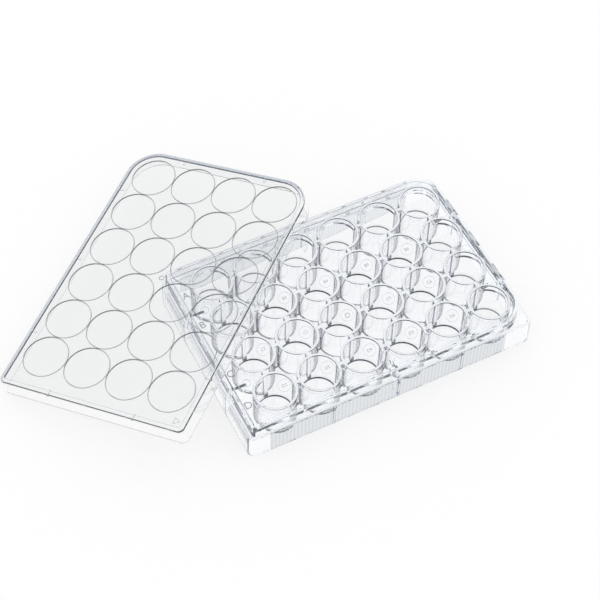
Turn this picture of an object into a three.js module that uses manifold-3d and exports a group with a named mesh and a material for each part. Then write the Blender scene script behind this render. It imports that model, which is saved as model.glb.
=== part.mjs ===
// Twenty-four well culture plate with its lid taken off and leaning on the
// plate's left end. Both are single mouldings in clear plastic.
// Units are millimetres, +Z up. Columns run along +X and rows along +Y.

import * as THREE from "three";
import { mergeVertices } from "three/addons/utils/BufferGeometryUtils.js";
import Module from "manifold-3d";

const wasm = await Module();
wasm.setup();

// ---- driving dimensions: the array of wells --------------------------------

const COLUMNS = 6;
const ROWS = 4;
const PITCH = 19.3;
const WELL_SIDES = 24;
const FLOOR_RADIUS = 7.47;         // bore at the floor
const LIP_RADIUS = 7.77;           // bore just under the rounded lip
const FLOOR_TOP = 2.42;            // inside floor of a well
const SHEET_UNDER = 1.2;           // underside of the floors, clear of the table
const RIM_TOP = 18.05;             // crest of a well's rim
const LIP_ROUND = 0.5;             // height of the rounded lip
const WELL_FOOT_RADIUS = 8.75;     // outside of a well at its foot
const WELL_RIM_RADIUS = 8.95;      // outside of a well under its rim
const WEB_WIDTH = 1.8;             // wall that joins two neighbouring wells
const WEB_DROP = 0.15;             // webs stop this far below the rims

// ---- driving dimensions: frame of the plate --------------------------------

const FOOT = { left: -65.71, right: 62.05, front: -42.74, back: 42.74 };
const FOOT_CORNER = 3;
const LEDGE_TOP = 12.25;           // step that the lid's skirt comes down to
const SHEET = 1.2;                 // thickness of ledge and deck
const SKIRT_DRAFT = 0.24;          // the skirt leans in by this much up to the ledge
const SKIRT_WALL = 1.25;
const SEAT = { left: -63.9, right: 59.85, front: -41.35, back: 41.35 };
const SEAT_TOP = 18.55;            // top of the upright wall inside the ledge
const SEAT_DRAFT = 0.22;
const SEAT_WALL = 1.45;            // at its top
const SEAT_FLARE = 0.65;           // the wall is this much thicker at the deck
const SEAT_LEFT_CORNER = 1.5;
const DECK_TOP = 15.15;            // margin between the outer wells and the wall

// ---- driving dimensions: stiffening ribs -----------------------------------

const RIB = 1.2;
const END_RIB_ROWS = [-PITCH, PITCH];
const RIB_UNDER = 0.6;             // foot of the ribs above the table
const RIB_FOOT = 3.2;              // width of a rib's foot, from the skirt's inside
const RIGHT_RIB_REACH = 8.2;       // width of a rib under the deck, from inside the wall
const LEFT_RIB_REACH = 6.3;
const SIDE_RIB_REACH = 5.7;
const POST_WIDTH = 1;
const POST_COLUMNS = [-1.5 * PITCH, 0, 1.5 * PITCH];

// ---- driving dimensions: lid -----------------------------------------------

const LID_GAP = 0.2;               // lid's skirt to the plate's wall, each side
const LID_WALL = 0.7;
const LID_DRAFT = 0.35;
const LID_LENGTH_GAP = 1.0;        // play at the rounded end
const LID_NEAR_GAP = 0.5;          // play at the square end
const LID_UNDER = 0;               // underside of the lid's panel
const LID_PANEL = 1.1;
const LID_RIM = 0.4;               // raised stacking rim round the panel
const LID_RIM_WIDTH = 1.75;
const LID_SKIRT = 6.6;             // skirt below the panel's underside
const LID_NEAR_CORNER = 2.6;
const RING_OUTER = 9.6;            // condensation rings under the panel
const RING_WIDTH = 0.4;
const RING_DEPTH = 0.4;
const RING_SIDES = 20;
const PAD_LENGTH = 2.2;            // pads that hold the panel off the plate's wall
const PAD_WIDTH = 0.8;
const PAD_DEPTH = 0.6;
const PAD_ROWS = [-2 * PITCH, 0, 2 * PITCH];
const PAD_COLUMNS = [-PITCH, PITCH];

// The leaning lid: how far it is turned about Z, and where the middle of its
// panel lies beside the back left corner of the plate's wall.
const LID_TURN = THREE.MathUtils.degToRad(-51.28);
const LID_ASIDE = { x: -1.89, y: -2.73 };
const LEAN_GAP = 0.35;             // kept between the lid and the wall it leans on

// ---- helpers ---------------------------------------------------------------

// A three.js geometry as a closed solid with merged vertices.
function toSolid(geometry) {
  const bare = geometry.clone();
  bare.deleteAttribute("normal");
  bare.deleteAttribute("uv");
  const merged = mergeVertices(bare, 1e-5);
  return new wasm.Manifold(new wasm.Mesh({
    numProp: 3,
    vertProperties: new Float32Array(merged.attributes.position.array),
    triVerts: new Uint32Array(merged.index.array),
  }));
}

function toGeometry(solid) {
  const mesh = solid.getMesh();
  const geometry = new THREE.BufferGeometry();
  geometry.setAttribute("position", new THREE.BufferAttribute(mesh.vertProperties, 3));
  geometry.setIndex(new THREE.BufferAttribute(mesh.triVerts, 1));
  geometry.computeVertexNormals();
  return geometry;
}

function joined(solids) {
  return solids.reduce((whole, solid) => whole.add(solid));
}

function grown(box, by) {
  return {
    left: box.left - by,
    right: box.right + by,
    front: box.front - by,
    back: box.back + by,
  };
}

// Rectangle with a radius for each corner, in the order
// back right, back left, front left, front right.
function outline(box, radii) {
  const [backRight, backLeft, frontLeft, frontRight] = radii;
  const shape = new THREE.Shape();
  shape.moveTo(box.left + frontLeft, box.front);
  shape.lineTo(box.right - frontRight, box.front);
  shape.absarc(box.right - frontRight, box.front + frontRight, frontRight, -Math.PI / 2, 0);
  shape.lineTo(box.right, box.back - backRight);
  shape.absarc(box.right - backRight, box.back - backRight, backRight, 0, Math.PI / 2);
  shape.lineTo(box.left + backLeft, box.back);
  shape.absarc(box.left + backLeft, box.back - backLeft, backLeft, Math.PI / 2, Math.PI);
  shape.lineTo(box.left, box.front + frontLeft);
  shape.absarc(box.left + frontLeft, box.front + frontLeft, frontLeft, Math.PI, 1.5 * Math.PI);
  return shape;
}

// Upright prism on an outline. The top is smaller than the foot by draft all
// round; a negative draft makes it wider.
function prism(box, radii, bottom, top, draft = 0, curveSegments = 8) {
  const geometry = new THREE.ExtrudeGeometry(outline(box, radii), {
    depth: top - bottom,
    bevelEnabled: false,
    curveSegments,
  });
  const middleX = (box.left + box.right) / 2;
  const middleY = (box.front + box.back) / 2;
  const position = geometry.attributes.position;
  for (let i = 0; i < position.count; i += 1) {
    const lean = draft * position.getZ(i) / (top - bottom);
    position.setX(i, position.getX(i) - lean * Math.sign(position.getX(i) - middleX));
    position.setY(i, position.getY(i) - lean * Math.sign(position.getY(i) - middleY));
  }
  geometry.translate(0, 0, bottom);
  return toSolid(geometry);
}

function block(x0, x1, y0, y1, z0, z1) {
  const geometry = new THREE.BoxGeometry(x1 - x0, y1 - y0, z1 - z0);
  geometry.translate((x0 + x1) / 2, (y0 + y1) / 2, (z0 + z1) / 2);
  return toSolid(geometry);
}

// Solid of revolution about an upright axis through (x, y).
function turned(profile, x, y, sides) {
  const geometry = new THREE.LatheGeometry(profile.map(([r, z]) => new THREE.Vector2(r, z)), sides);
  geometry.rotateX(Math.PI / 2);
  geometry.translate(x, y, 0);
  return toSolid(geometry);
}

// Every grid point of a COLUMNS by ROWS array about the middle.
function grid(columns, rows) {
  const places = [];
  for (let row = 0; row < rows; row += 1) {
    for (let column = 0; column < columns; column += 1) {
      places.push([
        (column - (columns - 1) / 2) * PITCH,
        (row - (rows - 1) / 2) * PITCH,
      ]);
    }
  }
  return places;
}

// ---- plate -----------------------------------------------------------------

const LIP_BASE = RIM_TOP - LIP_ROUND;
const ARRAY_X = (COLUMNS - 1) / 2 * PITCH;
const ARRAY_Y = (ROWS - 1) / 2 * PITCH;
const BELOW = -1;
const ABOVE = SEAT_TOP + 1;

// The rounded end's corners are concentric with the corner wells.
const SEAT_RIGHT_CORNER = SEAT.right - ARRAY_X;

function cornersAt(inset) {
  const right = SEAT_RIGHT_CORNER - inset;
  const left = Math.max(SEAT_LEFT_CORNER - inset, 0.6);
  return [right, left, left, right];
}

function wellBlank([x, y]) {
  return turned([
    [0, SHEET_UNDER],
    [WELL_FOOT_RADIUS, SHEET_UNDER],
    [WELL_RIM_RADIUS, RIM_TOP],
    [0, RIM_TOP],
  ], x, y, WELL_SIDES);
}

function wellBore([x, y]) {
  return turned([
    [0, FLOOR_TOP],
    [FLOOR_RADIUS, FLOOR_TOP],
    [LIP_RADIUS, LIP_BASE],
    [LIP_RADIUS + LIP_ROUND, RIM_TOP],
    [LIP_RADIUS + LIP_ROUND, ABOVE],
    [0, ABOVE],
  ], x, y, WELL_SIDES);
}

function webs() {
  const top = RIM_TOP - WEB_DROP;
  const reach = PITCH / 2 - LIP_RADIUS - LIP_ROUND;
  const alongX = grid(COLUMNS - 1, ROWS).map(([x, y]) => block(
    x - reach, x + reach, y - WEB_WIDTH / 2, y + WEB_WIDTH / 2, SHEET_UNDER, top));
  const alongY = grid(COLUMNS, ROWS - 1).map(([x, y]) => block(
    x - WEB_WIDTH / 2, x + WEB_WIDTH / 2, y - reach, y + reach, SHEET_UNDER, top));
  return joined([...alongX, ...alongY]);
}

// A rib in an upright plane: its corners as [distance, height] along a
// direction turned by angle about Z, at offset to the side.
function rib(corners, angle, offset, thickness) {
  const shape = new THREE.Shape(corners.map(([d, z]) => new THREE.Vector2(d, z)));
  const geometry = new THREE.ExtrudeGeometry(shape, { depth: thickness, bevelEnabled: false });
  geometry.translate(0, 0, -thickness / 2);
  geometry.rotateX(Math.PI / 2);
  geometry.translate(0, offset, 0);
  geometry.rotateZ(angle);
  return toSolid(geometry);
}

// Ribs tie the skirt, the ledge and the deck together. Each is drawn outward
// from the middle, given how far out the foot of the skirt and the wall are.
function buttress(foot, wall, reach, angle, offset) {
  const skirtInside = foot - SKIRT_WALL;
  const wallInside = wall - SEAT_WALL - SEAT_DRAFT;
  const ledgeMiddle = LEDGE_TOP - SHEET / 2;
  const deckMiddle = DECK_TOP - SHEET / 2;
  return rib([
    [wallInside - reach, deckMiddle],
    [skirtInside - RIB_FOOT, RIB_UNDER],
    [skirtInside + SKIRT_WALL / 2, RIB_UNDER],
    [skirtInside + SKIRT_WALL / 2, ledgeMiddle],
    [wallInside + SEAT_WALL / 2, ledgeMiddle],
    [wallInside + SEAT_WALL / 2, deckMiddle],
  ], angle, offset, RIB);
}

function ribs() {
  return joined([
    ...END_RIB_ROWS.map((y) => buttress(FOOT.right, SEAT.right, RIGHT_RIB_REACH, 0, y)),
    ...END_RIB_ROWS.map((y) => buttress(-FOOT.left, -SEAT.left, LEFT_RIB_REACH, Math.PI, -y)),
    buttress(FOOT.back, SEAT.back, SIDE_RIB_REACH, Math.PI / 2, 0),
    buttress(-FOOT.front, -SEAT.front, SIDE_RIB_REACH, -Math.PI / 2, 0),
  ]);
}

// Plain upright posts that stand flush with the skirt's foot.
function posts() {
  const depth = SKIRT_WALL / 2;
  const onSides = POST_COLUMNS.flatMap((x) => [
    block(x - POST_WIDTH / 2, x + POST_WIDTH / 2, FOOT.back - depth, FOOT.back, 0, LEDGE_TOP),
    block(x - POST_WIDTH / 2, x + POST_WIDTH / 2, FOOT.front, FOOT.front + depth, 0, LEDGE_TOP),
  ]);
  const onEnds = END_RIB_ROWS.flatMap((y) => [
    block(FOOT.left, FOOT.left + depth, y - POST_WIDTH / 2, y + POST_WIDTH / 2, 0, LEDGE_TOP),
    block(FOOT.right - depth, FOOT.right, y - POST_WIDTH / 2, y + POST_WIDTH / 2, 0, LEDGE_TOP),
  ]);
  return joined([...onSides, ...onEnds]);
}

function plate() {
  const footCorners = Array(4).fill(FOOT_CORNER);
  const innerCorners = Array(4).fill(FOOT_CORNER - SKIRT_WALL);
  const skirt = prism(FOOT, footCorners, 0, LEDGE_TOP, SKIRT_DRAFT, 5);
  const seat = prism(SEAT, cornersAt(0), LEDGE_TOP - SHEET / 2, SEAT_TOP, SEAT_DRAFT);
  const underLedge = prism(
    grown(FOOT, -SKIRT_WALL), innerCorners, BELOW, LEDGE_TOP - SHEET, SKIRT_DRAFT, 4);
  const seatInset = SEAT_WALL + SEAT_DRAFT;
  const underDeck = prism(
    grown(SEAT, -seatInset), cornersAt(seatInset), BELOW, DECK_TOP - SHEET);
  const recessInset = seatInset + SEAT_FLARE;
  const recess = prism(
    grown(SEAT, -recessInset), cornersAt(recessInset), DECK_TOP, SEAT_TOP, -SEAT_FLARE);
  const middle = block(-ARRAY_X, ARRAY_X, -ARRAY_Y, ARRAY_Y, BELOW, ABOVE);
  const floorSheet = block(-ARRAY_X, ARRAY_X, -ARRAY_Y, ARRAY_Y, SHEET_UNDER, FLOOR_TOP);
  const wells = grid(COLUMNS, ROWS);
  const frame = skirt
    .add(seat)
    .subtract(underLedge)
    .subtract(underDeck)
    .subtract(recess)
    .subtract(middle);
  return joined([frame, floorSheet, webs(), ribs(), posts(), ...wells.map(wellBlank)])
    .subtract(joined(wells.map(wellBore)));
}

// ---- lid -------------------------------------------------------------------

// In the lid's own frame its length runs along +Y, with the rounded end at +Y,
// and z is measured from the underside of its panel.
const LID_INSIDE = {
  left: SEAT.front - LID_GAP,
  right: SEAT.back + LID_GAP,
  front: SEAT.left - LID_NEAR_GAP,
  back: SEAT.right + LID_LENGTH_GAP,
};
const LID_OUTSIDE = grown(LID_INSIDE, LID_WALL);

function lidCorners(box) {
  const round = box.back - ARRAY_X;
  const near = LID_NEAR_CORNER - (LID_OUTSIDE.right - box.right);
  return [round, round, near, near];
}

function ring([x, y]) {
  const inner = RING_OUTER - RING_WIDTH;
  const root = LID_UNDER + LID_PANEL / 2;
  return turned([
    [inner, LID_UNDER - RING_DEPTH],
    [RING_OUTER, LID_UNDER - RING_DEPTH],
    [RING_OUTER, root],
    [inner, root],
    [inner, LID_UNDER - RING_DEPTH],
  ], x, y, RING_SIDES);
}

function pads() {
  const low = LID_UNDER - PAD_DEPTH;
  const high = LID_UNDER + LID_PANEL / 2;
  const half = PAD_WIDTH / 2;
  const inside = grown(LID_INSIDE, -LID_DRAFT);
  const atSides = PAD_ROWS.flatMap((y) => [
    block(inside.left, inside.left + PAD_LENGTH, y - half, y + half, low, high),
    block(inside.right - PAD_LENGTH, inside.right, y - half, y + half, low, high),
  ]);
  const atEnds = PAD_COLUMNS.flatMap((x) => [
    block(x - half, x + half, inside.front, inside.front + PAD_LENGTH, low, high),
    block(x - half, x + half, inside.back - PAD_LENGTH, inside.back, low, high),
  ]);
  return joined([...atSides, ...atEnds]);
}

function lid() {
  const low = LID_UNDER - LID_SKIRT;
  const top = LID_UNDER + LID_PANEL + LID_RIM;
  const shell = prism(LID_OUTSIDE, lidCorners(LID_OUTSIDE), low, top, LID_DRAFT);
  const innerDraft = LID_DRAFT * LID_SKIRT / (top - low);
  const inside = prism(LID_INSIDE, lidCorners(LID_INSIDE), low, LID_UNDER, innerDraft);
  const dish = grown(LID_OUTSIDE, -LID_DRAFT - LID_RIM_WIDTH);
  const panelRecess = prism(dish, lidCorners(dish), LID_UNDER + LID_PANEL, top + 1);
  return joined([
    shell.subtract(inside).subtract(panelRecess),
    pads(),
    ...grid(ROWS, COLUMNS).map(ring),
  ]);
}

// ---- how the lid leans -------------------------------------------------------

function lidPose([pitch, roll, height]) {
  const pose = new THREE.Matrix4();
  pose.makeRotationFromEuler(new THREE.Euler(pitch, roll, LID_TURN, "ZYX"));
  pose.setPosition(SEAT.left + LID_ASIDE.x, SEAT.back + LID_ASIDE.y, height);
  return pose;
}

// What the lid's three supports still miss: its front left corner stands on
// the table, its right skirt lies over the plate's left wall, and its panel
// over the wall's back left corner.
function misses(lean) {
  const pose = lidPose(lean);
  const top = SEAT_TOP + LEAN_GAP;
  const [riseX, riseY] = [pose.elements[2], pose.elements[6]];
  const lowest = LID_NEAR_CORNER / Math.hypot(riseX, riseY, 1e-6);
  const corner = new THREE.Vector3(
    LID_OUTSIDE.left + LID_NEAR_CORNER - lowest * riseX,
    LID_OUTSIDE.front + LID_NEAR_CORNER - lowest * riseY,
    LID_UNDER - LID_SKIRT,
  ).applyMatrix4(pose);
  const edge = new THREE.Vector3(LID_INSIDE.right, 0, LID_UNDER - LID_SKIRT).applyMatrix4(pose);
  const along = new THREE.Vector3(0, 1, 0).transformDirection(pose);
  const overWall = edge.z + along.z * (SEAT.left + SEAT_DRAFT - edge.x) / along.x;
  const panel = new THREE.Vector3(0, 0, LID_UNDER).applyMatrix4(pose);
  const up = new THREE.Vector3(0, 0, 1).transformDirection(pose);
  const overCorner = panel.z
    - (up.x * (SEAT.left - panel.x) + up.y * (SEAT.back - panel.y)) / up.z;
  return [corner.z, overWall - top, overCorner - top];
}

// Leans the lid until nothing is missed, by Newton's method.
function settled() {
  const nudge = 1e-5;
  const lean = [0, 0, SEAT_TOP];
  for (let pass = 0; pass < 12; pass += 1) {
    const start = misses(lean);
    const slopes = lean.map((value, axis) => {
      const nudged = misses(lean.map((other, i) => (i === axis ? value + nudge : other)));
      return nudged.map((miss, i) => (miss - start[i]) / nudge);
    });
    const matrix = new THREE.Matrix3().set(
      slopes[0][0], slopes[1][0], slopes[2][0],
      slopes[0][1], slopes[1][1], slopes[2][1],
      slopes[0][2], slopes[1][2], slopes[2][2],
    );
    const step = new THREE.Vector3(...start).applyMatrix3(matrix.invert());
    lean[0] -= step.x;
    lean[1] -= step.y;
    lean[2] -= step.z;
  }
  return lean;
}

// ---- scene graph -----------------------------------------------------------

function clearPlastic(color) {
  return new THREE.MeshStandardMaterial({
    color,
    roughness: 0.08,
    metalness: 0,
    transparent: true,
    opacity: 0.3,
  });
}

const plateMesh = new THREE.Mesh(toGeometry(plate()), clearPlastic(0xe6ebf0));
plateMesh.name = "plate";

const lidMesh = new THREE.Mesh(toGeometry(lid()), clearPlastic(0xeceff2));
lidMesh.name = "lid";
lidPose(settled()).decompose(lidMesh.position, lidMesh.quaternion, lidMesh.scale);

const group = new THREE.Group();
group.add(plateMesh, lidMesh);

// The origin is under the middle of the whole object, on the table.
group.updateMatrixWorld(true);
const extent = new THREE.Box3().setFromObject(group, true);
group.position.set(
  -(extent.min.x + extent.max.x) / 2,
  -(extent.min.y + extent.max.y) / 2,
  0,
);

export default group;
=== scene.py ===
import math

import bmesh
import bpy
import numpy as np
from mathutils import Euler, Matrix, Vector


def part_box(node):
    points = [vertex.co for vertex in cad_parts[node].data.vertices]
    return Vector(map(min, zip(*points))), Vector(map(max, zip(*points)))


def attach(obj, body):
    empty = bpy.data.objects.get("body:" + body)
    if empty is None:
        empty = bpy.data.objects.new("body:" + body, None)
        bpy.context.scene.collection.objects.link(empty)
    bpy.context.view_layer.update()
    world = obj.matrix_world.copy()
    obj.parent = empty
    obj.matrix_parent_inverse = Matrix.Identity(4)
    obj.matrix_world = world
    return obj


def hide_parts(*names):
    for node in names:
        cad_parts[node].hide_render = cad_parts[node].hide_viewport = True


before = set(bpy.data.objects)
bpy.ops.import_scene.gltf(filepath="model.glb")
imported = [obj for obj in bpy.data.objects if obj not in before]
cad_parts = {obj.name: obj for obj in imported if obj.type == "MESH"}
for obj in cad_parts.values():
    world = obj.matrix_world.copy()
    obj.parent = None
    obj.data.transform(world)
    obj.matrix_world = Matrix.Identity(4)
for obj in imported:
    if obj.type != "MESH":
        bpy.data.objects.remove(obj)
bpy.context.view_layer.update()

# ---- sizes in millimetres ---------------------------------------------------

PITCH = 19.3
COLUMNS, ROWS = 6, 4
ARRAY_X, ARRAY_Y = 2.5 * PITCH, 1.5 * PITCH
FLOOR_RADIUS, LIP_RADIUS = 7.47, 7.77
FLOOR_TOP, SHEET_UNDER, RIM_TOP = 2.42, 1.2, 18.05
WELL_FOOT, WELL_RIM = 8.75, 8.95
WEB_WIDTH, WEB_TOP = 1.8, 17.9
FOOT = (-65.71, 62.05, -42.74, 42.74)          # left, right, front, back
FOOT_CORNER, LEDGE_TOP, SHEET = 3.0, 12.25, 1.2
SKIRT_DRAFT, SKIRT_WALL = 0.24, 1.25
SEAT = (-63.9, 59.85, -41.35, 41.35)
# The seat wall's foot is thicker by flare + lean at the front and left, and by flare - lean at the back and right.
SEAT_TOP, SEAT_DRAFT, SEAT_WALL, SEAT_FLARE, SEAT_LEAN = 18.55, 0.22, 1.45, 0.425, 0.225
DECK_TOP, DECK_FILLET = 15.15, 0.35
FLUTE_PITCH, FLUTE_DEPTH, FLUTE_SPAN = 1.62, 0.02, (-57.0, 49.0)   # fine ribs on the front and back
FLUTE_STEPS = 6                                # points to each rib
POST_HALF, POST_DEPTH = 0.5, 0.6               # small upright posts on the skirt
POST_SPACING = 1.5 * PITCH
BUTTRESS, BUTTRESS_FOOT, BUTTRESS_UNDER = 1.2, 3.2, 0.6   # thickness, foot's width, height above the table
REACH_RIGHT, REACH_LEFT, REACH_SIDE = 8.2, 6.3, 5.7       # under the deck, in from the wall
WELL_SIDES = 96
SEAT_CORNER_LEFT = 1.5
# The solids' lid has a wall of 0.7. This one is thinner, so that its rounder edges stay in the solids' box.
LID_WALL, LID_DRAFT, LID_SKIRT, LID_CORNER_NEAR = 0.58, 0.35, 6.6, 2.6
LID_PANEL, LID_RIM, LID_RIM_WIDTH = 1.1, 0.4, 1.75
LID_TOP_ROUND, LID_INNER_ROUND = 0.45, 0.6
LID_IN = (SEAT[2] - 0.2, SEAT[3] + 0.2, SEAT[0] - 0.5, SEAT[1] + 1.0)
RING_IN, RING_OUT, RING_DEEP = 9.2, 9.6, 0.4   # condensation rings under the lid
PAD_LENGTH, PAD_HALF, PAD_DEEP, PAD_INTO = 2.2, 0.4, 0.6, 0.5   # small pads inside the lid's skirt
MARK_SUNK, MARK_PROUD = 0.02, 0.08             # lettering below and above its surface
CREASE = 28                                    # degrees up to which faces share a corner normal
WELL_ROUND, RING_ROUND = (7.0, 9.05), (9.1, 9.65)   # radii where walls are round
RING_SIDE = (9.38, 9.7)

# The middle of the wells in the frame, from the plate's box.
plate_low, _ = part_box("plate")
MIDDLE = Vector((plate_low[0] * 1000 - FOOT[0], plate_low[1] * 1000 - FOOT[2], 0))
PLATE_PLACE = Matrix.Translation(MIDDLE)
# The pose at which the lid rests on the plate and the table.
LID_PLACE = (
    Matrix.Translation(MIDDLE + Vector((SEAT[0] - 1.89, SEAT[3] - 2.73, 18.891)))
    @ Matrix.Rotation(math.radians(-51.28), 4, "Z")
    @ Matrix.Rotation(math.radians(-11.6919), 4, "Y")
    @ Matrix.Rotation(math.radians(3.6113), 4, "X")
)
MM = Matrix.Scale(0.001, 4)


def raw(name, points, faces):
    mesh = bpy.data.meshes.new(name)
    mesh.from_pydata(points, [], faces)
    mesh.validate()
    ob = bpy.data.objects.new(name, mesh)
    bpy.context.scene.collection.objects.link(ob)
    return ob


def rounded(box, radii, inset, seg=10, flute=None):
    """Outline points anticlockwise; radii for the corners back right, back left, front left, front right."""
    l, r, f, b = box[0] + inset, box[1] - inset, box[2] + inset, box[3] - inset
    spots = ((r, b, 1, 1, 0), (l, b, -1, 1, 90), (l, f, -1, -1, 180), (r, f, 1, -1, 270))
    points = []
    for i, ((x, y, sx, sy, start), radius) in enumerate(zip(spots, radii)):
        q = max(radius - inset, 0.12)
        for k in range(seg + 1):
            a = math.radians(start + 90 * k / seg)
            points.append((x - sx * q + q * math.cos(a), y - sy * q + q * math.sin(a)))
        if flute and i in (0, 2):
            lo, hi, pitch, depth = flute
            n = int((hi - lo) / pitch)
            xs = [lo + pitch * j / FLUTE_STEPS for j in range(n * FLUTE_STEPS + 1)]
            if i == 0:
                xs.reverse()
            for px in xs:
                dip = depth - depth * abs(math.sin(math.pi * (px - lo) / pitch))
                points.append((px, y - sy * dip))
    return points


def stack(name, box, radii, levels, seg=10, flute=None):
    """Closed solid through outlines of (inset, z), from the foot up; a third number moves one to the back right."""
    points, faces = [], []
    n = 0
    for inset, z, *aside in levels:
        loop = rounded(box, radii, inset, seg, flute)
        n = len(loop)
        points += [(x + sum(aside), y + sum(aside), z) for x, y in loop]
    for s in range(len(levels) - 1):
        for k in range(n):
            a, b = s * n + k, s * n + (k + 1) % n
            faces.append((a, b, b + n, a + n))
    faces.append(tuple(range(n - 1, -1, -1)))
    faces.append(tuple(range((len(levels) - 1) * n, len(levels) * n)))
    return raw(name, points, faces)


def lathe(name, profile, x, y, sides):
    """Profile from the axis at the foot to the axis at the top, as (radius, z)."""
    points, faces = [(x, y, profile[0][1])], []
    for r, z in profile[1:-1]:
        points += [(x + r * math.cos(2 * math.pi * k / sides), y + r * math.sin(2 * math.pi * k / sides), z)
                   for k in range(sides)]
    points.append((x, y, profile[-1][1]))
    rings = len(profile) - 2
    last = len(points) - 1
    for k in range(sides):
        j = (k + 1) % sides
        faces.append((0, 1 + j, 1 + k))
        for s in range(rings - 1):
            a = 1 + s * sides
            faces.append((a + k, a + j, a + sides + j, a + sides + k))
        a = 1 + (rings - 1) * sides
        faces.append((a + k, a + j, last))
    return raw(name, points, faces)


def hoop(name, profile, x, y, sides):
    """Closed ring of a closed section, as (radius, z)."""
    m = len(profile)
    points, faces = [], []
    for k in range(sides):
        a = 2 * math.pi * k / sides
        points += [(x + r * math.cos(a), y + r * math.sin(a), z) for r, z in profile]
    for k in range(sides):
        j = (k + 1) % sides
        for s in range(m):
            t = (s + 1) % m
            faces.append((k * m + s, j * m + s, j * m + t, k * m + t))
    return raw(name, points, faces)


def block(name, x0, x1, y0, y1, z0, z1, r=0.0):
    if r:
        return stack(name, (x0, x1, y0, y1), (r,) * 4, [(0, z0), (0, z1)], 3)
    p = [(x, y, z) for z in (z0, z1) for x, y in ((x0, y0), (x1, y0), (x1, y1), (x0, y1))]
    return raw(name, p, [(3, 2, 1, 0), (4, 5, 6, 7), (0, 1, 5, 4), (1, 2, 6, 5), (2, 3, 7, 6), (3, 0, 4, 7)])


def slab(name, outline, axis, at, thick):
    """Upright plate: outline of (distance, z) along X or Y, centred at the other axis's at."""
    n = len(outline)
    pts = []
    for side in (-thick / 2, thick / 2):
        for d, z in outline:
            pts.append((d, at + side, z) if axis == "X" else (at + side, d, z))
    faces = [tuple(range(n)), tuple(range(2 * n - 1, n - 1, -1))]
    for k in range(n):
        j = (k + 1) % n
        faces.append((k, k + n, j + n, j))
    ob = raw(name, pts, faces)
    fix_normals(ob)
    return ob


def fix_normals(ob):
    bm = bmesh.new()
    bm.from_mesh(ob.data)
    bmesh.ops.recalc_face_normals(bm, faces=bm.faces)
    bm.to_mesh(ob.data)
    bm.free()


def combine(base, others, operation):
    """Joins or cuts base with the others, and removes them."""
    pile = bpy.data.collections.new("pile")
    bpy.context.scene.collection.children.link(pile)
    for o in others:
        fix_normals(o)
        bpy.context.scene.collection.objects.unlink(o)
        pile.objects.link(o)
    fix_normals(base)
    mod = base.modifiers.new("solid", "BOOLEAN")
    mod.operation = operation
    mod.solver = "MANIFOLD"
    mod.operand_type = "COLLECTION"
    mod.collection = pile
    dg = bpy.context.evaluated_depsgraph_get()
    mesh = bpy.data.meshes.new_from_object(base.evaluated_get(dg))
    base.modifiers.clear()
    old = base.data
    base.data = mesh
    bpy.data.meshes.remove(old)
    for o in others:
        bpy.data.objects.remove(o)
    bpy.data.collections.remove(pile)
    return base


def arc(cr, cz, radius, start, end, steps=5):
    """Points of a profile on an arc, as (radius from the axis, z)."""
    out = []
    for k in range(steps + 1):
        a = math.radians(start + (end - start) * k / steps)
        out.append((cr + radius * math.cos(a), cz + radius * math.sin(a)))
    return out


def curved(inset, top, radius, steps=5):
    """Levels that turn from an upright wall to a flat top."""
    return [(inset + radius * (1 - math.cos(a)), top - radius * (1 - math.sin(a)))
            for a in (math.pi / 2 * k / steps for k in range(steps + 1))]


def grid(columns, rows):
    return [((c - (columns - 1) / 2) * PITCH, (r - (rows - 1) / 2) * PITCH)
            for r in range(rows) for c in range(columns)]


def grown(box, by):
    return (box[0] - by, box[1] + by, box[2] - by, box[3] + by)


# ---- plate ------------------------------------------------------------------

SEAT_RADII = (SEAT[1] - ARRAY_X, SEAT_CORNER_LEFT, SEAT_CORNER_LEFT, SEAT[1] - ARRAY_X)


def web(x, y, along):
    """Wall between two neighbouring wells, rounded at the top."""
    half, top, r = WEB_WIDTH / 2, WEB_TOP, 0.35
    reach = PITCH / 2 - LIP_RADIUS - 0.4
    outline_points = [(-half, SHEET_UNDER), (half, SHEET_UNDER)]
    outline_points += arc(half - r, top - r, r, 0, 90, 4)
    outline_points += arc(-half + r, top - r, r, 90, 180, 4)
    if along == "X":
        return slab("web", [(y + d, z) for d, z in outline_points], "Y", x, 2 * reach)
    return slab("web", [(x + d, z) for d, z in outline_points], "X", y, 2 * reach)


def buttress(foot, wall, reach, sign, axis, at):
    """Upright plate that ties the skirt, the ledge and the deck together."""
    skirt_in, wall_in = foot - SKIRT_WALL, wall - SEAT_WALL - SEAT_DRAFT
    mid_ledge, mid_deck = LEDGE_TOP - SHEET / 2, DECK_TOP - SHEET / 2
    shape = [(wall_in - reach, mid_deck), (skirt_in - BUTTRESS_FOOT, BUTTRESS_UNDER),
             (skirt_in + 0.6, BUTTRESS_UNDER), (skirt_in + 0.6, mid_ledge),
             (wall_in + 0.7, mid_ledge), (wall_in + 0.7, mid_deck)]
    return slab("buttress", [(sign * d, z) for d, z in shape], axis, at, BUTTRESS)


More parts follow.
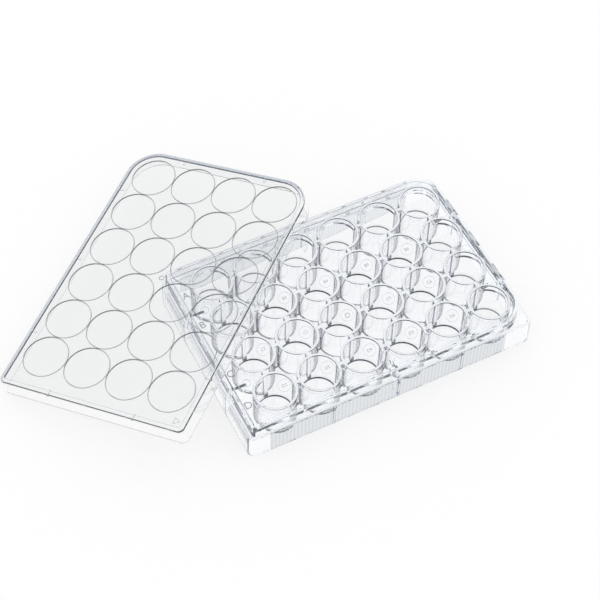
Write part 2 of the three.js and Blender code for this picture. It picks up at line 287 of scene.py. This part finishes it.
def build_plate():
    flute = (FLUTE_SPAN[0], FLUTE_SPAN[1], FLUTE_PITCH, FLUTE_DEPTH)
    skirt = stack("plate_clear", FOOT, (FOOT_CORNER,) * 4, [
        (0.15, 0), (0.02, 0.13), (SKIRT_DRAFT, LEDGE_TOP - 0.25), (0.31, LEDGE_TOP - 0.08), (0.5, LEDGE_TOP)],
        8, flute)
    seat = stack("seat", SEAT, SEAT_RADII, [
        (0, LEDGE_TOP - 0.6), (0, LEDGE_TOP), (0.2, SEAT_TOP - 0.35), (0.28, SEAT_TOP - 0.12), (0.5, SEAT_TOP)], 16)
    posts = []
    for x in (-POST_SPACING, 0, POST_SPACING):
        for y in (FOOT[3] - POST_DEPTH, FOOT[2]):
            posts.append(block("post", x - POST_HALF, x + POST_HALF, y, y + POST_DEPTH, 0, LEDGE_TOP - 0.1))
    for y in (-PITCH, PITCH):
        for x in (FOOT[0], FOOT[1] - POST_DEPTH):
            posts.append(block("post", x, x + POST_DEPTH, y - POST_HALF, y + POST_HALF, 0, LEDGE_TOP - 0.1))
    combine(skirt, [seat] + posts, "UNION")
    inset = SEAT_WALL + SEAT_DRAFT
    under_ledge = stack("under", FOOT, (FOOT_CORNER,) * 4, [
        (SKIRT_WALL, -1), (SKIRT_WALL + 0.2, LEDGE_TOP - SHEET - 0.3), (SKIRT_WALL + 0.55, LEDGE_TOP - SHEET)], 6)
    under_deck = stack("under", SEAT, SEAT_RADII, [
        (inset, -1), (inset, DECK_TOP - SHEET - 0.3), (inset + 0.3, DECK_TOP - SHEET)], 12)
    foot = inset + SEAT_FLARE
    fillet = [(foot + DECK_FILLET * (1 - math.sin(a)), DECK_TOP + DECK_FILLET * (1 - math.cos(a)), SEAT_LEAN)
              for a in (math.radians(18 * k) for k in range(6))]
    recess = stack("recess", SEAT, SEAT_RADII, [
        *fillet,
        (inset, SEAT_TOP - 0.3),
        (inset - 0.12, SEAT_TOP - 0.1), (inset - 0.35, SEAT_TOP + 0.01), (inset - 0.35, SEAT_TOP + 1)], 16)
    middle = block("middle", -ARRAY_X, ARRAY_X, -ARRAY_Y, ARRAY_Y, -1, SEAT_TOP + 1)
    combine(skirt, [under_ledge, under_deck, recess, middle], "DIFFERENCE")
    outer = [(0, SHEET_UNDER), (WELL_FOOT - 0.25, SHEET_UNDER), (WELL_FOOT, SHEET_UNDER + 0.25)]
    outer += arc(WELL_RIM - 0.35, RIM_TOP - 0.35, 0.35, 0, 90, 4) + [(0, RIM_TOP)]
    inner = [(0, FLOOR_TOP)] + arc(FLOOR_RADIUS - 0.4, FLOOR_TOP + 0.4, 0.4, 270, 360, 4)
    inner += arc(LIP_RADIUS + 0.5, RIM_TOP - 0.5, 0.5, 180, 90, 5)
    inner += [(LIP_RADIUS + 0.5, RIM_TOP + 1), (0, RIM_TOP + 1)]
    pieces = [block("sheet", -ARRAY_X, ARRAY_X, -ARRAY_Y, ARRAY_Y, SHEET_UNDER, FLOOR_TOP)]
    pieces += [web(x, y, "X") for x, y in grid(COLUMNS - 1, ROWS)]
    pieces += [web(x, y, "Y") for x, y in grid(COLUMNS, ROWS - 1)]
    pieces += [lathe("well", outer, x, y, WELL_SIDES) for x, y in grid(COLUMNS, ROWS)]
    for y in (-PITCH, PITCH):
        pieces.append(buttress(FOOT[1], SEAT[1], REACH_RIGHT, 1, "X", y))
        pieces.append(buttress(-FOOT[0], -SEAT[0], REACH_LEFT, -1, "X", y))
    pieces.append(buttress(FOOT[3], SEAT[3], REACH_SIDE, 1, "Y", 0))
    pieces.append(buttress(-FOOT[2], -SEAT[2], REACH_SIDE, -1, "Y", 0))
    combine(skirt, pieces, "UNION")
    combine(skirt, [lathe("bore", inner, x, y, WELL_SIDES) for x, y in grid(COLUMNS, ROWS)], "DIFFERENCE")
    return skirt


# ---- lid --------------------------------------------------------------------

LID_OUT = grown(LID_IN, LID_WALL)


def lid_radii(box):
    near = LID_CORNER_NEAR - (LID_OUT[1] - box[1])
    return (box[3] - ARRAY_X, box[3] - ARRAY_X, near, near)


def build_lid():
    top, panel = LID_PANEL + LID_RIM, LID_PANEL
    shell = stack("lid_clear", LID_OUT, lid_radii(LID_OUT), [
        (0.2, -LID_SKIRT), (0.02, -LID_SKIRT + 0.12), *curved(LID_DRAFT - 0.03, top, LID_TOP_ROUND)], 16)
    inside = stack("inside", LID_IN, lid_radii(LID_IN), [
        (-0.1, -LID_SKIRT - 0.01), (0.0, -LID_SKIRT + 0.1), *curved(0.25, 0, LID_INNER_ROUND)], 16)
    dish_at = LID_DRAFT + LID_RIM_WIDTH
    dish = stack("dish", LID_OUT, lid_radii(LID_OUT), [
        (dish_at + 0.15, panel), (dish_at, panel + 0.12), (dish_at - 0.05, top - 0.12),
        (dish_at - 0.2, top + 0.01), (dish_at - 0.2, top + 1)], 14)
    combine(shell, [inside, dish], "DIFFERENCE")
    section = [(RING_IN, 0.5), (RING_IN, -0.3), (RING_IN + 0.07, -0.38), ((RING_IN + RING_OUT) / 2, -RING_DEEP),
               (RING_OUT - 0.07, -0.38), (RING_OUT, -0.3), (RING_OUT, 0.5)]
    pieces = [hoop("ring", section, x, y, WELL_SIDES) for x, y in grid(ROWS, COLUMNS)]
    box = grown(LID_IN, -LID_DRAFT)
    for y in (-2 * PITCH, 0, 2 * PITCH):
        for x in (box[0], box[1] - PAD_LENGTH):
            pieces.append(block("pad", x, x + PAD_LENGTH, y - PAD_HALF, y + PAD_HALF, -PAD_DEEP, PAD_INTO))
    for x in (-PITCH, PITCH):
        for y in (box[2], box[3] - PAD_LENGTH):
            pieces.append(block("pad", x - PAD_HALF, x + PAD_HALF, y, y + PAD_LENGTH, -PAD_DEEP, PAD_INTO))
    return combine(shell, pieces, "UNION")


# ---- lettering and moulding marks -------------------------------------------

def text(body, size, x, y, z):
    """Raised letters on a surface at z, read from +Z with +Y up."""
    curve = bpy.data.curves.new("text", "FONT")
    curve.body, curve.size, curve.resolution_u = body, size, 3
    curve.align_x = curve.align_y = "CENTER"
    curve.extrude = (MARK_SUNK + MARK_PROUD) / 2
    ob = bpy.data.objects.new("text", curve)
    bpy.context.scene.collection.objects.link(ob)
    mesh = bpy.data.meshes.new_from_object(ob.evaluated_get(bpy.context.evaluated_depsgraph_get()))
    mesh.transform(Matrix.Translation((x, y, z + (MARK_PROUD - MARK_SUNK) / 2)))
    bpy.data.objects.remove(ob)
    bpy.data.curves.remove(curve)
    return mesh


def ring(radius, width, x, y, z, sides=48):
    """Fine raised ring, or a triangle with three sides."""
    section = [(radius - width / 2, z - MARK_SUNK), (radius + width / 2, z - MARK_SUNK),
               (radius + width / 2, z + MARK_PROUD), (radius - width / 2, z + MARK_PROUD)]
    ob = hoop("ring", section, x, y, sides)
    mesh = ob.data
    bpy.data.objects.remove(ob)
    return mesh


def gathered(name, meshes):
    """One object of several meshes, each of them closed."""
    bm = bmesh.new()
    for mesh in meshes:
        bm.from_mesh(mesh)
        bpy.data.meshes.remove(mesh)
    bmesh.ops.remove_doubles(bm, verts=bm.verts, dist=1e-4)
    bmesh.ops.recalc_face_normals(bm, faces=bm.faces)
    mesh = bpy.data.meshes.new(name)
    bm.to_mesh(mesh)
    bm.free()
    ob = bpy.data.objects.new(name, mesh)
    bpy.context.scene.collection.objects.link(ob)
    return ob


def build_plate_marks():
    """Row letters and numbers on the deck, labels and rings between the wells, rings of the ejector pins."""
    marks = []
    for r, row in enumerate("DCBA"):
        y = (r - (ROWS - 1) / 2) * PITCH
        aside = math.copysign(3.25, y) if abs(y) < PITCH else 0
        marks.append(text(row, 4.6, SEAT[0] + 4.1, y + aside, DECK_TOP))
        for c in range(1, COLUMNS):
            x = (c - COLUMNS / 2) * PITCH
            if row == "A":
                marks.append(text(f"{row}{c + 1}", 1.9, x, ARRAY_Y + 9.4, DECK_TOP))
                continue
            if (r, c) == (1, COLUMNS // 2):
                marks.append(ring(1.1, 0.3, x, y + PITCH / 2, FLOOR_TOP))
            else:
                marks.append(text(f"{row}{c + 1}", 2.1, x, y + PITCH / 2, FLOOR_TOP))
            marks.append(ring(3.0, 0.08, x, y + PITCH / 2, FLOOR_TOP))
    for x, y in ((-56, -PITCH), (-56, PITCH), (55, 0.5)):
        marks.append(ring(1.7, 0.1, x, y, DECK_TOP))
    return gathered("plate_marks", marks)


def build_lid_marks():
    """Small ring at the lid's middle and a triangle at its near right corner."""
    marks = [ring(1.0, 0.25, 0, 0, LID_PANEL), ring(1.6, 0.25, 37.2, -60.4, LID_PANEL, 3)]
    return gathered("lid_marks", marks)


def set_normals(ob, centres, low, high):
    """Large faces keep their own normal beside small roundings; walls round a centre point straight from it."""
    mesh = ob.data
    corners = len(mesh.loops)
    vertex = np.empty(corners, dtype=np.int32)
    mesh.loops.foreach_get("vertex_index", vertex)
    counts = np.empty(len(mesh.polygons), dtype=np.int32)
    mesh.polygons.foreach_get("loop_total", counts)
    area = np.empty(len(mesh.polygons))
    mesh.polygons.foreach_get("area", area)
    flat = np.empty(len(mesh.polygons) * 3)
    mesh.polygons.foreach_get("normal", flat)
    face = np.repeat(np.arange(len(mesh.polygons)), counts)
    flat = flat.reshape(-1, 3)[face]
    heavy = flat * area[face][:, None]
    order = np.argsort(vertex, kind="stable")
    total = heavy.copy()
    step = 1
    while True:
        one, other = order[:-step], order[step:]
        same = vertex[one] == vertex[other]
        if not same.any():
            break
        one, other = one[same], other[same]
        close = (flat[one] * flat[other]).sum(axis=1) > math.cos(math.radians(CREASE))
        np.add.at(total, one[close], heavy[other[close]])
        np.add.at(total, other[close], heavy[one[close]])
        step += 1
    total /= np.linalg.norm(total, axis=1)[:, None].clip(1e-12)
    points = np.empty(len(mesh.vertices) * 3)
    mesh.vertices.foreach_get("co", points)
    points = points.reshape(-1, 3)[vertex]
    away = points[:, None, :2] - np.array(centres)[None]
    distance = np.linalg.norm(away, axis=2)
    near = distance.argmin(axis=1)
    pick = np.arange(corners)
    radius = distance[pick, near]
    radial = away[pick, near] / radius[:, None].clip(1e-6)
    level = np.linalg.norm(total[:, :2], axis=1)
    side = (total[:, :2] * radial).sum(axis=1)
    on_wall = (radius > low) & (radius < high) & (level > 0.05) & (abs(side) > 0.985 * level)
    total[on_wall, :2] = radial[on_wall] * (level * np.sign(side))[on_wall][:, None]
    mesh.polygons.foreach_set("use_smooth", [True] * len(mesh.polygons))
    mesh.normals_split_custom_set(total)


def lid_face_material(face, centres):
    """Number of the lid's material: 0 plain, 1 ring side, 2 skirt's lower edge, 3 step inside the rim; 1 to 3 carry
    painted shade lines.
    """
    x, y, z = face.center
    inward = face.normal.x * x + face.normal.y * y < -5
    if z < -LID_SKIRT + 0.08:
        return 2
    if inward and LID_PANEL + 0.03 < z < LID_PANEL + LID_RIM - 0.03:
        return 3
    away = min(math.hypot(x - u, y - v) for u, v in centres)
    return int(z < -0.05 and RING_SIDE[0] < away < RING_SIDE[1])


def finish_piece(ob, place, node, slot, *materials):
    """Puts a piece in the frame, in metres, with its materials and, for a node, its corner normals."""
    if node == "plate":
        set_normals(ob, grid(COLUMNS, ROWS), *WELL_ROUND)
    elif node == "lid":
        set_normals(ob, grid(ROWS, COLUMNS), *RING_ROUND)
    ob.data.materials.clear()
    for m in materials:
        ob.data.materials.append(m)
    if node == "lid":
        centres = grid(ROWS, COLUMNS)
        for face in ob.data.polygons:
            face.material_index = lid_face_material(face, centres)
    ob.data.transform(MM @ place)
    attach(ob, "root")
    if node:
        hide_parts(node)


# ---- materials --------------------------------------------------------------

IOR, ROUGHNESS = 1.59, 0.01
ABSORPTION, DENSITY = (0.66, 0.74, 0.85), 12
# A weak glow stands for light that the plastic scatters. Rays caught inside would end black without it.
GLOW_STRENGTH, MARGIN_GLOW = 0.0095, 0.5       # the second is the share added outside the wells
PLATE_GLOW, LID_GLOW = (0.76, 0.85, 1.0), (0.56, 0.61, 0.68)
PLATE_TINT, LID_TINT = (0.99, 0.993, 0.998), (0.96, 0.958, 0.953)
# Painted shade: the first colour stripes the ribbed skirt, the second greys the lettering and rings.
RIB_PAINTED_SHADE, MARK_PAINTED_SHADE = (0.5, 0.53, 0.555), (0.36, 0.39, 0.43)
# Painted shade lines on the lid: the rings' sides, the skirt's lower edge and the step inside the rim.
LID_RING_PAINTED_SHADE, SKIRT_EDGE_PAINTED_SHADE, STEP_PAINTED_SHADE = (0.02, 0.02, 0.02), (0.64, 0.68, 0.75), (0.28, 0.33, 0.41)
# Painted shade where the plastic is seen edge on, on the plate and on the lid.
EDGE_PAINTED_SHADE, LID_EDGE_PAINTED_SHADE = (0.02, 0.036, 0.065), (0.16, 0.2, 0.26)
# Layer Weight's facing, 0 to 1, where a shade starts and where it is full.
EDGE_FACING, WALL_FACING, WEB_FACING, CORNER_FACING = (0.88, 1.0), (0.54, 0.74), (0.58, 0.68), 0.75
HATCH_PITCH, HATCH_FLOOR, WALL_SHADE = 2.24, 0.45, 0.85   # painted shade on the outsides of the wells, in hatch lines across the height
CORNER_HEIGHT, CORNER_SHADE = 0.6, 0.9         # painted shade in the corner of a well's floor
RIB_SWING, RIB_LEVEL = 0.25, 0.7
# Painted shade beside the posts on the ribbed skirt, this far from a post's middle.
POST_EDGE, POST_SHADE = (0.4, 0.62), 0.7
MARGIN_FROM = 9.5                              # outside the middles of the outer wells


def maths(tree, operation, *values):
    node = tree.nodes.new("ShaderNodeMath")
    node.operation = operation
    for socket, value in zip(node.inputs, values):
        if hasattr(value, "is_output"):
            tree.links.new(value, socket)
        else:
            socket.default_value = value
    return node.outputs[0]


def product(tree, first, *others):
    for value in others:
        first = maths(tree, "MULTIPLY", first, value)
    return first


def spread(tree, value, low, high):
    node = tree.nodes.new("ShaderNodeMapRange")
    node.interpolation_type = "SMOOTHSTEP"
    tree.links.new(value, node.inputs["Value"])
    node.inputs["From Min"].default_value = low
    node.inputs["From Max"].default_value = high
    return node.outputs[0]


def between(tree, value, low, high):
    return product(tree, maths(tree, "GREATER_THAN", value, low), maths(tree, "LESS_THAN", value, high))


def bands(tree, vector, direction, pitch, distortion=0.0):
    """Lines across a direction, a pitch in millimetres apart."""
    node = tree.nodes.new("ShaderNodeTexWave")
    node.bands_direction = direction
    node.inputs["Scale"].default_value = math.pi / 10 / (pitch / 1000)
    node.inputs["Distortion"].default_value = distortion
    tree.links.new(vector, node.inputs["Vector"])
    return node.outputs["Fac"]


def from_middle(tree, socket, middle, spacing, shift):
    """Signed distance from the nearest of evenly spaced lines, as a share of the spacing."""
    cells = maths(tree, "DIVIDE", maths(tree, "SUBTRACT", socket, middle / 1000), spacing / 1000)
    return maths(tree, "SUBTRACT", maths(tree, "FRACT", maths(tree, "ADD", cells, shift)), 0.5)


def plate_shade(tree, facing, shade):
    """Adds the plate's own painted shade, and gives the shade, the share of painted rib shade and the margin outside
    the wells.
    """
    place = tree.nodes.new("ShaderNodeTexCoord").outputs["Object"]
    parts = tree.nodes.new("ShaderNodeSeparateXYZ")
    tree.links.new(place, parts.inputs[0])
    across, along = (product(tree, from_middle(tree, socket, middle, PITCH, 10), PITCH)
                     for socket, middle in zip(parts.outputs[:2], MIDDLE[:2]))
    radius = maths(tree, "SQRT", maths(tree, "ADD", product(tree, across, across), product(tree, along, along)))
    beside_x = maths(tree, "SUBTRACT", parts.outputs[0], MIDDLE.x / 1000)
    out_x = maths(tree, "ABSOLUTE", beside_x)
    out_y = maths(tree, "ABSOLUTE", maths(tree, "SUBTRACT", parts.outputs[1], MIDDLE.y / 1000))
    margin = maths(tree, "MAXIMUM", maths(tree, "GREATER_THAN", out_x, (ARRAY_X + MARGIN_FROM) / 1000),
                   maths(tree, "GREATER_THAN", out_y, (ARRAY_Y + MARGIN_FROM) / 1000))

    # Painted shade on the outsides of the wells seen near edge on, in hatch lines that stand for reflections stacked
    # in the walls.
    painted_hatch = spread(tree, bands(tree, place, "Z", HATCH_PITCH, 0.3), 0.2, 0.8)
    painted_hatch = maths(tree, "MULTIPLY_ADD", painted_hatch, 1 - HATCH_FLOOR, HATCH_FLOOR)
    wall = product(tree, between(tree, radius, 8.65, 9.0), spread(tree, facing, *WALL_FACING), painted_hatch, WALL_SHADE)

    # Painted shade in the far corner of each well's floor.
    corner = product(tree, between(tree, radius, FLOOR_RADIUS - 0.3, FLOOR_RADIUS + 0.1),
                     between(tree, parts.outputs[2], (FLOOR_TOP + 0.02) / 1000, (FLOOR_TOP + CORNER_HEIGHT) / 1000),
                     maths(tree, "SUBTRACT", 1, margin), maths(tree, "LESS_THAN", facing, CORNER_FACING), CORNER_SHADE)

    # Painted shade on the webs' sides seen near edge on.
    nearest = maths(tree, "MINIMUM", maths(tree, "ABSOLUTE", across), maths(tree, "ABSOLUTE", along))
    web_side = product(tree, between(tree, nearest, WEB_WIDTH / 2 - 0.05, WEB_WIDTH / 2 + 0.05),
                       maths(tree, "GREATER_THAN", radius, 9.0), spread(tree, facing, *WEB_FACING))

    ribbed = product(tree, maths(tree, "GREATER_THAN", out_y, (FOOT[3] - 0.5) / 1000),
                     between(tree, beside_x, FLUTE_SPAN[0] / 1000, FLUTE_SPAN[1] / 1000))
    # Painted shade beside the small posts on the ribbed skirt.
    post = maths(tree, "ABSOLUTE", from_middle(tree, parts.outputs[0], MIDDLE.x, POST_SPACING, 10.5))
    post = product(tree, ribbed, between(tree, product(tree, post, POST_SPACING), *POST_EDGE), POST_SHADE)

    for more in (wall, corner, web_side, post):
        shade = maths(tree, "MAXIMUM", shade, more)
    # Painted shade in stripes along the ribbed skirt, standing for the light the ribs bend.
    ribs = maths(tree, "MULTIPLY_ADD", bands(tree, place, "X", FLUTE_PITCH), RIB_SWING, RIB_LEVEL)
    return shade, product(tree, ribbed, ribs), margin


def mixed(tree, factor, first, second):
    """Colour between two, where the first may come from another node."""
    node = tree.nodes.new("ShaderNodeMixRGB")
    tree.links.new(factor, node.inputs[0])
    for socket, value in zip(node.inputs[1:], (first, second)):
        if hasattr(value, "is_output"):
            tree.links.new(value, socket)
        else:
            socket.default_value = (*value, 1)
    return node.outputs[0]


def clear_plastic(name, tint, glow, plate=False, edge=EDGE_PAINTED_SHADE):
    """Clear moulding with a painted shade, darker and bluer, where it is seen edge on. The plate's has more painted
    shade of its own as well.
    """
    mat = bpy.data.materials.new(name)
    mat.use_nodes = True
    mat.cycles.emission_sampling = "NONE"
    tree = mat.node_tree
    p = tree.nodes["Principled BSDF"]
    p.inputs["Transmission Weight"].default_value = 1
    p.inputs["IOR"].default_value = IOR
    p.inputs["Roughness"].default_value = ROUGHNESS
    p.inputs["Emission Color"].default_value = (*glow, 1)
    p.inputs["Emission Strength"].default_value = GLOW_STRENGTH
    weight = tree.nodes.new("ShaderNodeLayerWeight")
    weight.inputs["Blend"].default_value = 0.5
    facing = weight.outputs["Facing"]
    shade = spread(tree, facing, *EDGE_FACING)
    if plate:
        shade, ribs, margin = plate_shade(tree, facing, shade)
        tint = mixed(tree, ribs, tint, RIB_PAINTED_SHADE)
        tree.links.new(maths(tree, "MULTIPLY_ADD", margin, MARGIN_GLOW * GLOW_STRENGTH, GLOW_STRENGTH),
                       p.inputs["Emission Strength"])
    # Painted shade: where the shade is full, the colour turns to the edge shade and the reflection weakens.
    colour = mixed(tree, shade, tint, edge)
    tree.links.new(colour, p.inputs["Base Color"])
    tree.links.new(colour, p.inputs["Specular Tint"])
    tree.links.new(maths(tree, "MULTIPLY_ADD", shade, -0.5, 0.5), p.inputs["Specular IOR Level"])
    volume = tree.nodes.new("ShaderNodeVolumeAbsorption")
    volume.inputs["Color"].default_value = (*ABSORPTION, 1)
    volume.inputs["Density"].default_value = DENSITY
    tree.links.new(volume.outputs[0], tree.nodes["Material Output"].inputs["Volume"])
    return mat


plate_plastic = clear_plastic("plate_plastic", PLATE_TINT, PLATE_GLOW, True)
lid_plastic = clear_plastic("lid_plastic", LID_TINT, LID_GLOW, edge=LID_EDGE_PAINTED_SHADE)
# These lid materials paint shade lines on the ring sides, the skirt's lower edge and the rim's step.
lid_ring_painted_shade = clear_plastic("lid_ring_painted_shade", LID_RING_PAINTED_SHADE, LID_GLOW)
skirt_edge_painted_shade = clear_plastic("skirt_edge_painted_shade", SKIRT_EDGE_PAINTED_SHADE, LID_GLOW)
step_painted_shade = clear_plastic("step_painted_shade", STEP_PAINTED_SHADE, LID_GLOW)
# The lettering and rings get a greyer colour, a painted shade for their moulded relief.
mark_painted_shade = clear_plastic("mark_painted_shade", MARK_PAINTED_SHADE, PLATE_GLOW)

plate = build_plate()
finish_piece(plate, PLATE_PLACE, "plate", "plate_plastic", plate_plastic)
lid = build_lid()
finish_piece(lid, LID_PLACE, "lid", "lid_plastic", lid_plastic, lid_ring_painted_shade, skirt_edge_painted_shade, step_painted_shade)
finish_piece(build_plate_marks(), PLATE_PLACE, None, "plate_plastic", mark_painted_shade)
finish_piece(build_lid_marks(), LID_PLACE, None, "lid_plastic", mark_painted_shade)

# ---- floor, world and camera ------------------------------------------------

FLOOR_NEAR, FLOOR_FAR, FAR_COLOUR = 0.17, 0.24, (0.085, 0.093, 0.1)   # metres from the middle
FLOOR_SEEN, FLOOR_SHARE = 0.85, 0.9            # of the floor's own white, to the camera and at most
LIGHT_FROM, LIGHT_EDGE = (0.263, 0.52, 0.813), (0.955, 0.98)   # round patch of white in the studio
STUDIO = (0.44, 0.49, 0.545)


def emptied(tree, output):
    tree.nodes.clear()
    return tree.nodes.new(output)


def ramp(tree, value, stops):
    node = tree.nodes.new("ShaderNodeValToRGB")
    tree.links.new(value, node.inputs[0])
    node.color_ramp.interpolation = "EASE"
    for stop, (position, colour) in zip(node.color_ramp.elements, stops):
        stop.position = position
        stop.color = (*colour, 1)
    return node.outputs[0]


def mixed_shader(tree, factor, first, second, surface):
    node = tree.nodes.new("ShaderNodeMixShader")
    tree.links.new(factor, node.inputs[0])
    tree.links.new(first.outputs[0], node.inputs[1])
    tree.links.new(second.outputs[0], node.inputs[2])
    tree.links.new(node.outputs[0], surface)


WHITE = (1, 1, 1)
bpy.ops.mesh.primitive_plane_add(size=4)
floor = bpy.context.object
floor.name = "floor"
floor.location = (MIDDLE.x / 1000, MIDDLE.y / 1000, -0.0002)
floor_mat = bpy.data.materials.new("floor")
floor_mat.use_nodes = True
tree = floor_mat.node_tree
out = emptied(tree, "ShaderNodeOutputMaterial")
diffuse = tree.nodes.new("ShaderNodeBsdfDiffuse")
diffuse.inputs["Color"].default_value = (*WHITE, 1)
white = tree.nodes.new("ShaderNodeEmission")
distance = tree.nodes.new("ShaderNodeVectorMath")
distance.operation = "LENGTH"
tree.links.new(tree.nodes.new("ShaderNodeTexCoord").outputs["Object"], distance.inputs[0])
fall = ramp(tree, distance.outputs["Value"], ((FLOOR_NEAR, WHITE), (FLOOR_FAR, FAR_COLOUR)))
path = tree.nodes.new("ShaderNodeLightPath")
tree.links.new(mixed(tree, path.outputs["Is Camera Ray"], fall, WHITE), white.inputs["Color"])
through = maths(tree, "MAXIMUM", path.outputs["Is Transmission Ray"], path.outputs["Is Glossy Ray"])
either = maths(tree, "MAXIMUM", through, product(tree, path.outputs["Is Camera Ray"], FLOOR_SEEN))
mixed_shader(tree, product(tree, either, FLOOR_SHARE), diffuse, white, out.inputs["Surface"])
floor.data.materials.append(floor_mat)

# Rays inside and on the plastic see a grey-blue studio, all others a plain white one.
world = bpy.data.worlds.new("studio")
bpy.context.scene.world = world
world.use_nodes = True
tree = world.node_tree
out = emptied(tree, "ShaderNodeOutputWorld")
plain = tree.nodes.new("ShaderNodeBackground")
plain.inputs["Color"].default_value = (*WHITE, 1)
plain.inputs["Strength"].default_value = 1.0
studio = tree.nodes.new("ShaderNodeBackground")
studio.inputs["Strength"].default_value = 1.0
toward = tree.nodes.new("ShaderNodeVectorMath")
toward.operation = "DOT_PRODUCT"
tree.links.new(tree.nodes.new("ShaderNodeTexCoord").outputs["Generated"], toward.inputs[0])
toward.inputs[1].default_value = LIGHT_FROM
tree.links.new(ramp(tree, toward.outputs["Value"], ((LIGHT_EDGE[0], STUDIO), (LIGHT_EDGE[1], WHITE))),
               studio.inputs["Color"])
path = tree.nodes.new("ShaderNodeLightPath")
through = maths(tree, "MAXIMUM", path.outputs["Is Glossy Ray"], path.outputs["Is Transmission Ray"])
first = maths(tree, "LESS_THAN", path.outputs["Diffuse Depth"], 0.5)
mixed_shader(tree, product(tree, through, first), plain, studio, out.inputs["Surface"])

bpy.context.scene.view_settings.view_transform = "Standard"
bpy.context.scene.cycles.max_bounces = 24
bpy.context.scene.cycles.transmission_bounces = 24
bpy.context.scene.cycles.glossy_bounces = 7

camera_data = bpy.data.cameras.new("camera")
camera_data.lens = 99.95
camera_data.sensor_width = 36
camera_data.clip_end = 10
camera = bpy.data.objects.new("camera", camera_data)
bpy.context.scene.collection.objects.link(camera)
camera.location = (MIDDLE + Vector((-206.44, -341.25, 562.86))) / 1000
camera.rotation_euler = Euler([math.radians(a) for a in (35.8346, -0.9916, -26.8968)], "XYZ")
bpy.context.scene.camera = camera
